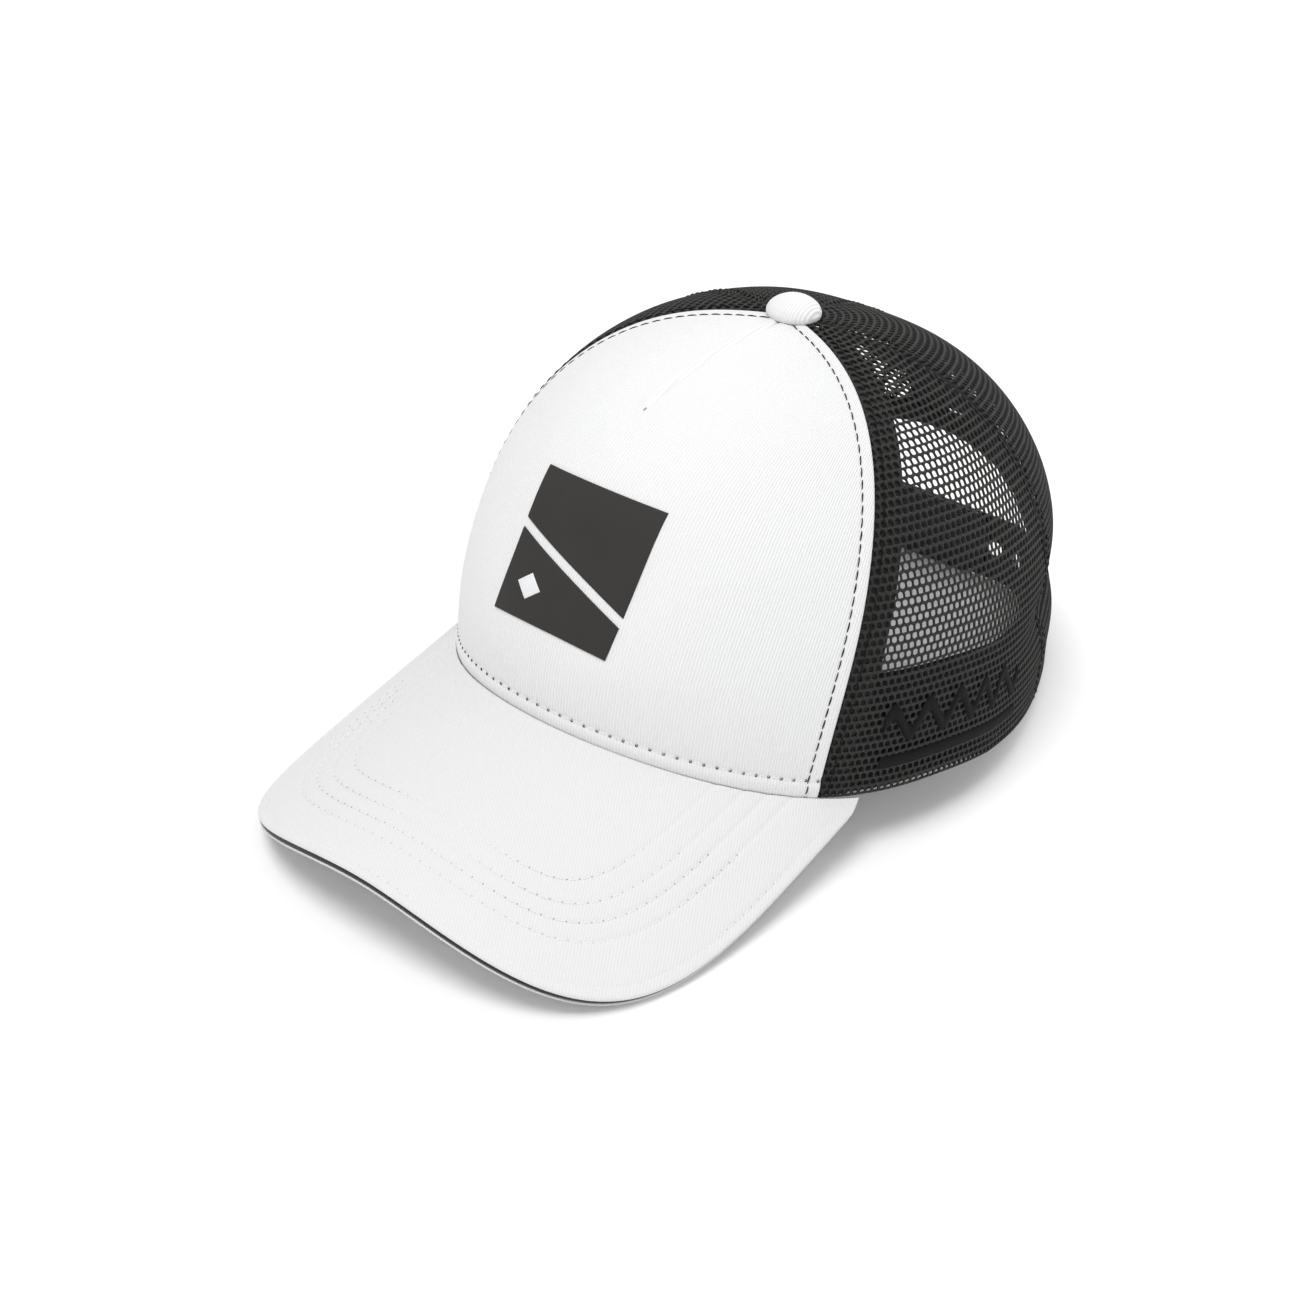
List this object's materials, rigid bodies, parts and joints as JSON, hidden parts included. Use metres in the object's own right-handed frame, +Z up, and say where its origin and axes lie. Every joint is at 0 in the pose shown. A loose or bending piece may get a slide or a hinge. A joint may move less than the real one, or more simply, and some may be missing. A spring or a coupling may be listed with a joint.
{
  "type": "trucker mesh cap",
  "caption": "Trucker cap with a white fabric front panel and curved visor, open black mesh sides and back, a top button and a snap strap across the rear opening.",
  "frame": {"origin": "centre of the bounding box in plan, at the floor the cap stands on", "axes": "+Z up, visor towards -Y, wearer's left towards +X"},
  "size_m": [0.1598, 0.2706, 0.1219],
  "materials": {
    "white_fabric": "fine ribbed cotton twill",
    "buckram": "stiffened open weave",
    "black_mesh": "open knitted polyester mesh",
    "black_tape": "woven tape",
    "black_band": "brushed twill",
    "label_cloth": "plain woven satin",
    "board_plastic": "matt polyethylene sheet",
    "black_insert": "twill",
    "button_metal": "pressed sheet",
    "rivet_metal": "drawn wire",
    "washer_plastic": "moulded",
    "strap_plastic": "moulded, satin",
    "patch_rubber": "flat matt",
    "patch_motif": "flat matt",
    "black_thread": "satin stitch"
  },
  "bodies": {
    "crown": {"front_panel": "white_fabric", "front_lining": "buckram", "side_mesh_left": "black_mesh", "side_mesh_right": "black_mesh", "rear_mesh_left": "black_mesh", "rear_mesh_right": "black_mesh", "front_seam_tape_left": "black_tape", "front_seam_tape_right": "black_tape", "side_seam_tape_left": "black_tape", "side_seam_tape_right": "black_tape", "rear_seam_tape": "black_tape", "arch_binding": "black_tape", "sweatband": "black_band", "main_label": "label_cloth", "care_label": "label_cloth", "visor_board": "board_plastic", "visor_top_cover": "white_fabric", "visor_under_cover": "white_fabric", "visor_edge_insert": "black_insert", "button_cover": "white_fabric", "button_shell": "button_metal", "button_rivet": "rivet_metal", "button_washer": "washer_plastic", "stud_strap_root": "strap_plastic", "hole_strap_root": "strap_plastic", "patch_upper": "patch_rubber", "patch_lower": "patch_rubber", "patch_motif": "patch_motif", "side_stitched_wave": "black_thread", "side_stitched_bar": "black_thread"},
    "stud_strap": {"stud_strap_tongue": "strap_plastic"},
    "hole_strap": {"hole_strap_tongue": "strap_plastic"}
  },
  "joints": [
    {"name": "hole_strap_flex", "type": "hinge", "parent": "crown", "child": "hole_strap", "pos_m": [0.026, 0.1342, 0.0116], "axis": [0, 0, -1], "range_deg": [0, 60], "stiffness_Nm_per_rad": 0.01},
    {"name": "stud_strap_flex", "type": "hinge", "parent": "crown", "child": "stud_strap", "pos_m": [-0.026, 0.1326, 0.0116], "axis": [0, 0, -1], "range_deg": [0, 50], "stiffness_Nm_per_rad": 0.01}
  ]
}
